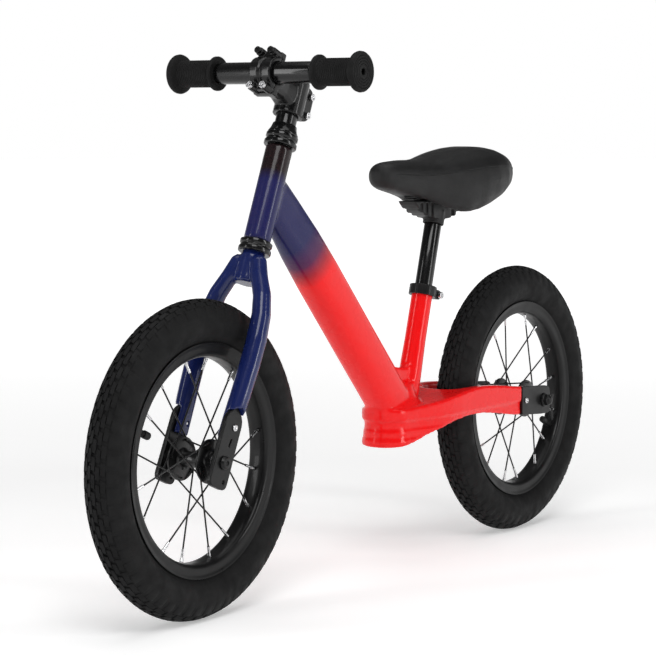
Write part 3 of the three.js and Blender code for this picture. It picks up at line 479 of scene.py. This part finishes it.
BLACK_PAINTS = {  # slot: colour, its patches, roughness, clear coat
    "black_metal": ((0.004, 0.004, 0.0042), (0.007, 0.007, 0.0073), 0.36, 0.15),
    "black_gloss": ((0.002, 0.002, 0.0022), (0.004, 0.004, 0.0042), 0.24, 0.4),
    "stem_black": ((0.003, 0.003, 0.0032), (0.006, 0.006, 0.0062), 0.32, 0.3),
    "rim_black": ((0.002, 0.002, 0.0022), (0.004, 0.004, 0.0042), 0.34, 0.1),
    "hub_black": ((0.003, 0.003, 0.0032), (0.006, 0.006, 0.0062), 0.3, 0.35),
    "spoke_black": ((0.004, 0.004, 0.0042), (0.008, 0.008, 0.0083), 0.34, 0.15),
}
MATERIALS = {
    "frame_paint": frame_paint(),
    "fork_paint": fork_paint(),
    "steel": bright_steel(),
    "black_plastic": plastic("black plastic", (0.004, 0.004, 0.004), 0.5),
    "saddle_plastic": plastic("saddle plastic", (0.004, 0.004, 0.0042), 0.45),
    "saddle_cover": leatherette(),
    "grip_rubber": rubber("grip rubber", (0.004, 0.004, 0.004), (0.007, 0.007, 0.007), 900, 0.0001),
    "valve_rubber": rubber("valve rubber", (0.004, 0.004, 0.004), (0.007, 0.007, 0.007), 600, 0.00006),
    "tyre": rubber("tyre rubber", (0.0045, 0.0045, 0.0047), (0.0065, 0.0065, 0.0067), 500, 0.0002),
}
for slot, look in BLACK_PAINTS.items():
    MATERIALS[slot] = metal_paint(slot.replace("_", " "), *look).material


# ---------------------------------------------------------------- CAD nodes that stay
ROUNDED = {  # node name start: voxel and smoothing passes
    "stem": (0.9, 5),
    "faceplate_bolt": (0.4, 2),
    "pinch_bolt": (0.4, 2),
    "steerer_cap": (0.6, 3),
    "fork_dropout": (0.7, 3),
    "rear_dropout": (0.7, 3),
    "front_axle_bolt": (0.4, 2),
    "rear_axle_nut": (0.45, 2),
    "seat_clamp": (0.55, 3),
    "saddle_bracket": (0.9, 3),
    "saddle_base": (1.2, 2),
    "front_valve": (0.5, 4),
    "rear_valve": (0.5, 4),
}


def dress_nodes():
    slots = {part["node"]: part["material_slot"] for part in frame["record"]["subparts"]}
    for name, node in frame["nodes"].items():
        node.data.materials.clear()
        node.data.materials.append(MATERIALS[slots[name]])
        shade(node.data, 30)
        for start, (voxel, passes) in ROUNDED.items():
            if name.startswith(start):
                round_off(node, voxel * MM, passes)


# ---------------------------------------------------------------- wheels
def wheel_place(name):
    return axis_place(WHEELS[name], X)


TYRE_CROWN = [  # (share of the half width, drop from the crown as a share of the half width)
    (0, 0), (0.25, 0.045), (0.5, 0.17), (0.72, 0.38), (0.9, 0.72), (1.0, 1.15),
]


def crown_drop(x):
    """How far the tyre's surface lies inside its largest radius at a distance x from the centre plane."""
    share = min(abs(x) / TYRE_HALF_WIDTH, 1)
    for (a, low), (b, high) in zip(TYRE_CROWN, TYRE_CROWN[1:]):
        if share <= b:
            return TYRE_HALF_WIDTH * (low + (high - low) * (share - a) / (b - a))
    return TYRE_HALF_WIDTH * TYRE_CROWN[-1][1]


def tyre_profile():
    width = TYRE_HALF_WIDTH
    crown = TYRE_RADIUS - TREAD_DEPTH
    outer = [
        (crown, 0), (crown - 1.0 * MM, width * 0.3), (crown - 4.2 * MM, width * 0.56),
        (crown - 9.5 * MM, width * 0.77), (crown - 17 * MM, width * 0.92), (crown - 26 * MM, width * 0.995),
        (RIM_RADIUS + 13 * MM, width * 0.95), (RIM_RADIUS + 6 * MM, width * 0.8),
        (RIM_RADIUS + 1.6 * MM, 13.9 * MM), (RIM_RADIUS - 1.2 * MM, 13 * MM),
    ]
    half = smooth_line(outer, 5) + [(RIM_RADIUS - 6 * MM, 12 * MM), (RIM_RADIUS - 6 * MM, 8 * MM)]
    return both_sides(half)


def block_into(bm, place, x_low, x_high, angle, span, lean):
    """One tread block: a curved patch of the tyre's surface raised by the tread depth."""
    rows = []
    for i in range(BLOCK_STEPS + 1):
        x = x_low + (x_high - x_low) * i / BLOCK_STEPS
        shift = lean * abs(x) / TYRE_HALF_WIDTH
        top = TYRE_RADIUS - crown_drop(x)
        foot = top - TREAD_DEPTH * 1.6
        corners = []
        for radius, inset in ((foot, 0), (top - 0.5 * MM, 0.03), (top, 0.12)):
            corners.append((radius, angle + shift - span / 2 * (1 - inset)))
        for radius, inset in ((top, 0.12), (top - 0.5 * MM, 0.03), (foot, 0)):
            corners.append((radius, angle + shift + span / 2 * (1 - inset)))
        rows.append([place @ Vector((r * math.cos(a), r * math.sin(a), x)) for r, a in corners])
    add_rings(bm, rows)


def tread_into(bm, place):
    pitch = 2 * math.pi / TREAD_PITCHES
    width = TYRE_HALF_WIDTH
    for i in range(TREAD_PITCHES):
        angle = i * pitch
        for side in (1, -1):
            half_turn = 0 if side > 0 else pitch / 2
            for inner, outer, shift, fill, lean in TREAD_ROWS:
                low, high = sorted((side * inner * width, side * outer * width))
                middle = angle + half_turn + shift * pitch
                block_into(bm, place, low, high, middle, pitch * fill, lean * pitch)


def make_tyre(name):
    bm = bmesh.new()
    place = wheel_place(name)
    turn_into(bm, tyre_profile(), place, RING_SIDES)
    tread_into(bm, place)
    piece = link(f"{name}_tyre_treaded", from_bmesh(f"{name}_tyre_treaded", bm))
    shade(piece.data, 32)
    finish_piece(piece, f"{name}_wheel", "tyre", [f"{name}_tyre"])


def make_rim(name):
    flange = RIM_RADIUS
    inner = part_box("rear_rim")[1].z - WHEELS["rear"].z - RIM_DEPTH
    half = smooth_line([
        (inner, 0), (inner + 0.2 * MM, 5 * MM), (inner + 1.6 * MM, 10.5 * MM), (inner + 5 * MM, 13.2 * MM),
        (flange - 5 * MM, 14.2 * MM), (flange - 1.6 * MM, 15.2 * MM), (flange, 15.6 * MM),
    ], 5)
    half += [(flange + 0.3 * MM, 14.6 * MM), (flange - 0.6 * MM, 13.6 * MM), (flange - 8 * MM, 12.6 * MM)]
    half += [(inner + 3 * MM, 7 * MM)]
    piece = turned(f"{name}_rim_turned", both_sides(half), wheel_place(name), RING_SIDES, 0)
    finish_piece(piece, f"{name}_wheel", "rim_black", [f"{name}_rim"])


def wheel_point(name, radius, degrees, x):
    angle = math.radians(degrees)
    return WHEELS[name] + Vector((x, radius * math.cos(angle), radius * math.sin(angle)))


def nipple_into(bm, end, along):
    neck = end - along * NIPPLE_LENGTH
    shoulder = end - along * NIPPLE_LENGTH * 0.3
    tube_into(bm, neck, shoulder, NIPPLE_RADIUS * 0.86, NIPPLE_RADIUS * 0.86)
    tube_into(bm, shoulder, end, NIPPLE_RADIUS, NIPPLE_RADIUS * 1.2)


def spoke_into(rods, nipples, name, side, i):
    """One spoke: it leaves its flange at a tangent, every other one the other way, and ends in a nipple."""
    start = SPOKE_PHASE[name] + (0 if side > 0 else 180 / SPOKES_PER_SIDE) + 360 / SPOKES_PER_SIDE * i
    lead = 90 if i % 2 == 0 else -90
    seat = 2.0 * MM if i % 2 == 0 else -1.6 * MM
    head = wheel_point(name, SPOKE_HEAD_RADIUS, start, side * (FLANGE_X + seat))
    end = wheel_point(name, RIM_RADIUS - SPOKE_END_DROP, start + lead, side * SPOKE_END_X)
    button = SPOKE_RADIUS * 1.1
    tube_into(rods, head, end, SPOKE_RADIUS, SPOKE_RADIUS)
    tube_into(rods, head - X * seat * 1.9, head + X * seat * 0.4, button, button)
    nipple_into(nipples, end, (end - head).normalized())


def make_spokes(name):
    rods = bmesh.new()
    nipples = bmesh.new()
    for side in (1, -1):
        for i in range(SPOKES_PER_SIDE):
            spoke_into(rods, nipples, name, side, i)
    body = f"{name}_wheel"
    spokes = link(f"{name}_spokes", from_bmesh(f"{name}_spokes", rods))
    shade(spokes.data, 50)
    finish_piece(spokes, body, "spoke_black", [f"{name}_spokes_left", f"{name}_spokes_right"])
    ends = link(f"{name}_nipples", from_bmesh(f"{name}_nipples", nipples))
    shade(ends.data, 50)
    finish_piece(ends, body, "steel")


def make_hub(name):
    pocket = HUB_HALF_LENGTH - BEARING_DEPTH
    half = [
        (9 * MM, 0), (9 * MM, 13 * MM), (10 * MM, 15.5 * MM), (12.5 * MM, FLANGE_X - 2 * MM),
        (HUB_RADIUS, FLANGE_X - 1.2 * MM), (HUB_RADIUS, FLANGE_X + 1.2 * MM), (15 * MM, FLANGE_X + 2 * MM),
        (13 * MM, FLANGE_X + 3.4 * MM), (13 * MM, HUB_HALF_LENGTH), (11.3 * MM, HUB_HALF_LENGTH),
        (11.3 * MM, pocket), (5.5 * MM, pocket), (5.5 * MM, 0),
    ]
    piece = turned(f"{name}_hub_turned", both_sides(half, -1), wheel_place(name))
    finish_piece(piece, f"{name}_wheel", "hub_black", [f"{name}_hub"])


# ---------------------------------------------------------------- frame and fork
def tube_skins():
    """High-resolution skins of the down tube and the head tube, to fuse with the cast frame."""
    bm = bmesh.new()
    along = (DOWN_TUBE_END - DOWN_TUBE_START).normalized()
    up = X.cross(along)
    rings = []
    for share, half_side, half_up, exponent in DOWN_TUBE_STATIONS:
        centre = DOWN_TUBE_START.lerp(DOWN_TUBE_END, share)
        rings.append(oval(centre, X, up, half_side * MM, half_up * MM, exponent, 72))
    add_rings(bm, rings)
    side = HEAD.col[0].to_3d()
    depth = HEAD.col[1].to_3d()
    rings = []
    for rise in HEAD_TUBE_ENDS:
        centre = HEAD_BASE + HEAD_AXIS * rise * MM
        rings.append(oval(centre, side, depth, HEAD_TUBE_RADIUS, HEAD_TUBE_RADIUS, 2, 72))
    add_rings(bm, rings)
    return from_bmesh("tube skins", bm)


def make_frame():
    piece = softened("frame_cast", ["frame"], tube_skins())
    finish_piece(piece, "frame", "frame_paint", ["frame"])


def make_fork():
    piece = softened("fork_cast", ["fork"])
    finish_piece(piece, "steering", "fork_paint", ["fork"])


# ---------------------------------------------------------------- headset, bar, post
def make_headset():
    for node, base in CUP_BASES.items():
        profile = [(r * MM, base + h * MM) for r, h in (
            (13, 0), (18.3, 0), (19.3, 1), (19.3, 5), (17.6, 7.5), (17.6, 8.6),
            (18.9, 10), (18.9, 14), (13, 14),
        )]
        cup = turned(f"{node}_turned", profile, HEAD)
        finish_piece(cup, "frame", "black_gloss", [node])
    base = CUP_BASES["headset_upper_cup"] + CONE_RISE
    profile = [(r * MM, base + h * MM) for r, h in (
        (13, 0), (18, 0), (18, 2), (16.6, 4.5), (15.6, 7), (14.8, 10), (14.4, 12.5), (13, 12.5),
    )]
    cone = turned("headset_cone_turned", profile, HEAD)
    finish_piece(cone, "steering", "black_gloss", ["headset_cone"])


def make_bar():
    neck = GRIP_INNER_X - 2 * MM
    half = [
        (BAR_RADIUS, 0), (BAR_RADIUS, neck - 3 * MM), (11 * MM, neck),
        (11 * MM, BAR_HALF_LENGTH), (9.2 * MM, BAR_HALF_LENGTH),
    ]
    bar = turned("handlebar_turned", both_sides(half), axis_place(BAR_CENTRE, X))
    finish_piece(bar, "handlebar", "black_gloss", ["handlebar"])


def grip_profile():
    inner = GRIP_INNER_X
    outer = GRIP_OUTER_X
    bore = 11.3 * MM
    flange = [(bore, inner), (18.6 * MM, inner), (20 * MM, inner + 1.4 * MM), (20 * MM, inner + 4 * MM),
              (18.6 * MM, inner + 5.4 * MM), (16 * MM, inner + 6.4 * MM)]
    ribs = []
    start = inner + 7.5 * MM
    end = outer - 11 * MM
    step = (end - start) / GRIP_RIBS
    for i in range(GRIP_RIBS):
        x = start + (end - start) * i / GRIP_RIBS
        ribs += [(15.1 * MM, x), (15.1 * MM, x + step * 0.3)]
        ribs += [(15.9 * MM, x + step * 0.45), (15.9 * MM, x + step * 0.85)]
    cap = [(16 * MM, outer - 10 * MM), (19.5 * MM, outer - 9 * MM), (22.4 * MM, outer - 7 * MM),
           (GRIP_RADIUS, outer - 4.6 * MM), (GRIP_RADIUS - 0.4 * MM, outer - 2 * MM), (21.4 * MM, outer)]
    face = []
    for radius in (19.4, 16.2, 13, 9.8):
        face += [(radius * MM, outer), ((radius - 0.5) * MM, outer - 0.8 * MM)]
        face += [((radius - 1.3) * MM, outer - 0.8 * MM), ((radius - 1.8) * MM, outer)]
    hole = [(4 * MM, outer), (4 * MM, BAR_HALF_LENGTH + 0.3 * MM), (bore, BAR_HALF_LENGTH + 0.3 * MM)]
    return flange + ribs + cap + face + hole


def make_grips():
    for label, side in (("left", 1), ("right", -1)):
        piece = turned(f"grip_{label}_ribbed", grip_profile(), axis_place(BAR_CENTRE, X * side), 72, 0.2 * MM)
        finish_piece(piece, "handlebar", "grip_rubber", [f"grip_{label}"])


def make_post():
    low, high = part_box("seat_post")
    top = Vector((0, high.y - POST_RADIUS * SEAT_AXIS.z, high.z - POST_RADIUS * SEAT_AXIS.y))
    bottom = Vector((0, low.y + POST_RADIUS * SEAT_AXIS.z, low.z + POST_RADIUS * SEAT_AXIS.y))
    length = (top - bottom).length
    profile = [(POST_BORE, 0), (POST_RADIUS, 0), (POST_RADIUS, length), (POST_BORE, length)]
    piece = turned("seat_post_turned", profile, axis_place(bottom, SEAT_AXIS))
    finish_piece(piece, "seat", "black_gloss", ["seat_post"])


# ---------------------------------------------------------------- saddle
def seam_points(tree, low, high, side):
    """Points along the saddle's flank, a third of the way down its side."""
    points = []
    for i in range(SEAM_POINTS):
        y = low.y + (high.y - low.y) * (0.06 + 0.88 * i / (SEAM_POINTS - 1))
        above = tree.ray_cast(Vector((0.001, y, high.z + 0.1)), -Z)[0]
        edge = tree.ray_cast(Vector((0.008 * side, y, low.z - 0.2)), Z)[0]
        if above is None or edge is None:
            continue
        z = above.z - (above.z - max(edge.z, low.z)) * 0.34 - 0.004
        hit = tree.ray_cast(Vector((0.2 * side, y, z)), -X * side)[0]
        if hit:
            points.append(hit)
    return points


def saddle_seam(mesh):
    """Piping that lies on the cover's two flanks."""
    tree = BVHTree.FromPolygons([v.co for v in mesh.vertices], [p.vertices for p in mesh.polygons])
    low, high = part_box("saddle_pad")
    seam = bpy.data.curves.new("saddle seam", "CURVE")
    seam.dimensions = "3D"
    seam.bevel_depth = 0.8 * MM
    seam.bevel_resolution = 3
    for side in (1, -1):
        points = seam_points(tree, low, high, side)
        line = seam.splines.new("POLY")
        line.points.add(len(points) - 1)
        for target, point in zip(line.points, points):
            target.co = (*point, 1)
    return seam


def make_saddle():
    pad = softened("saddle_cover", ["saddle_pad"])
    finer = pad.modifiers.new("finer", "SUBSURF")
    finer.levels = 1
    finer.render_levels = 1
    bake(pad)
    smooth_all(pad.data)
    seam = saddle_seam(pad.data)
    finish_piece(pad, "seat", "saddle_cover", ["saddle_pad"])
    piping = link("saddle_seam", seam)
    finish_piece(piping, "seat", "saddle_cover")


# ---------------------------------------------------------------- studio
def make_camera():
    data = bpy.data.cameras.new("camera")
    data.lens = CAMERA_LENS
    camera = link("camera", data)
    level = math.cos(CAMERA_ELEVATION)
    back = Vector((
        math.sin(CAMERA_AZIMUTH) * level,
        -math.cos(CAMERA_AZIMUTH) * level,
        math.sin(CAMERA_ELEVATION),
    ))
    camera.location = CAMERA_PLACE
    camera.rotation_euler = back.to_track_quat("Z", "Y").to_euler()
    data.clip_end = 50
    bpy.context.scene.camera = camera


def make_floor():
    """A white disc that glows more with distance, so that it meets the world without a line."""
    bm = bmesh.new()
    bmesh.ops.create_circle(bm, cap_ends=True, segments=96, radius=FLOOR_RADIUS)
    floor = link("floor", from_bmesh("floor", bm))
    surface = Shader("floor", (0.9, 0.9, 0.9), 0.8, 0.0, 0.2)
    surface.vary_color(3, (0.88, 0.88, 0.88), (0.9, 0.9, 0.9))
    surface.surface.inputs["Emission Color"].default_value = (1, 1, 1, 1)
    distance = surface.nodes.new("ShaderNodeVectorMath")
    distance.operation = "LENGTH"
    surface.links.new(surface.place, distance.inputs[0])
    glow = surface.spread(distance.outputs["Value"], 0.34, 1.0, 0.9, 4.0)
    surface.links.new(glow, surface.surface.inputs["Emission Strength"])
    floor.data.materials.append(surface.material)


def make_light(name, location, size, energy):
    data = bpy.data.lights.new(name, "AREA")
    data.shape = "RECTANGLE"
    data.size = size[0]
    data.size_y = size[1]
    data.energy = energy
    lamp = link(name, data)
    lamp.location = location
    aim = Vector(location) - Vector(STUDIO_MIDDLE)
    lamp.rotation_euler = aim.to_track_quat("Z", "Y").to_euler()


def make_studio():
    """Four lamps, and a world that is white up to just above the horizon and dim over it."""
    for name, (location, size, energy) in LAMPS.items():
        make_light(name, location, size, energy)
    world = bpy.data.worlds.new("studio")
    world.use_nodes = True
    nodes = world.node_tree.nodes
    links = world.node_tree.links
    height = nodes.new("ShaderNodeSeparateXYZ")
    links.new(nodes.new("ShaderNodeTexCoord").outputs["Generated"], height.inputs["Vector"])
    fade = map_range(world.node_tree, height.outputs["Z"], 1.0, 0.12, 0.1, 0.2)
    links.new(fade, nodes["Background"].inputs["Strength"])
    nodes["Background"].inputs["Color"].default_value = (1, 1, 1, 1)
    bpy.context.scene.world = world
    bpy.context.scene.view_settings.view_transform = "Standard"


make_camera()
dress_nodes()
for wheel in WHEELS:
    make_tyre(wheel)
    make_rim(wheel)
    make_spokes(wheel)
    make_hub(wheel)
make_frame()
make_fork()
make_headset()
make_bar()
make_grips()
make_post()
make_saddle()
make_floor()
make_studio()
